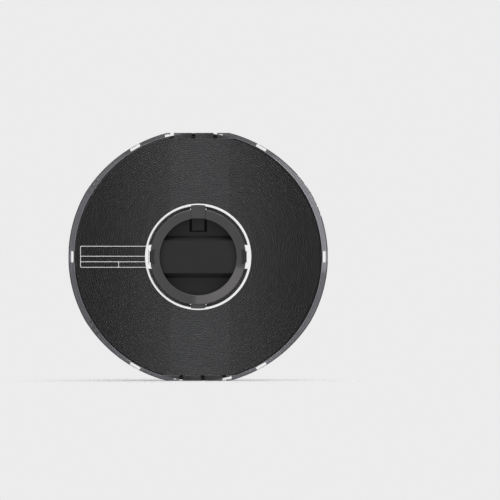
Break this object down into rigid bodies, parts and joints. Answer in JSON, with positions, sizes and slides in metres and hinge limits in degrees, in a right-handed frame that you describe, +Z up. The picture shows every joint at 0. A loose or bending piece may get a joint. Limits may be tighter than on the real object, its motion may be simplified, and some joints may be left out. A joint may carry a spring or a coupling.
{
  "type": "filament spool",
  "caption": "Flat-sided round spool of dark filament between clear flanges, with a dark pinch-grip hub, a sprung release latch and a rear spindle socket.",
  "frame": {"origin": "on the axis of the spool, midway between the two sides of the winding, which lies inside the rear spindle socket", "axes": "+Z up when the spool stands on its lower flats; the axis of the spool lies along Y, with the front and its hub ring towards -Y and the spindle socket opening towards +Y"},
  "size_m": [0.2, 0.0426, 0.191],
  "materials": {
    "clear_flange": "clear moulded plastic, polished",
    "hub_body": "moulded, fine matt texture",
    "hub_face": "moulded, satin",
    "tag": "plain film disc",
    "filament": "extruded strand, glossy"
  },
  "bodies": {
    "spool": {"front_flange": "clear_flange", "rear_flange": "clear_flange", "hub_core": "hub_body", "hub_ring": "hub_face", "grip_tray": "hub_body", "id_tag": "tag", "filament_core": "filament", "filament_outer": "filament"},
    "latch": {"release_latch": "hub_face"}
  },
  "joints": [
    {"name": "latch_press", "type": "hinge", "parent": "spool", "child": "latch", "pos_m": [0, -0.00935, 0.03075], "axis": [1, 0, 0], "range_deg": [0, 6], "stiffness_Nm_per_rad": 0.4}
  ]
}
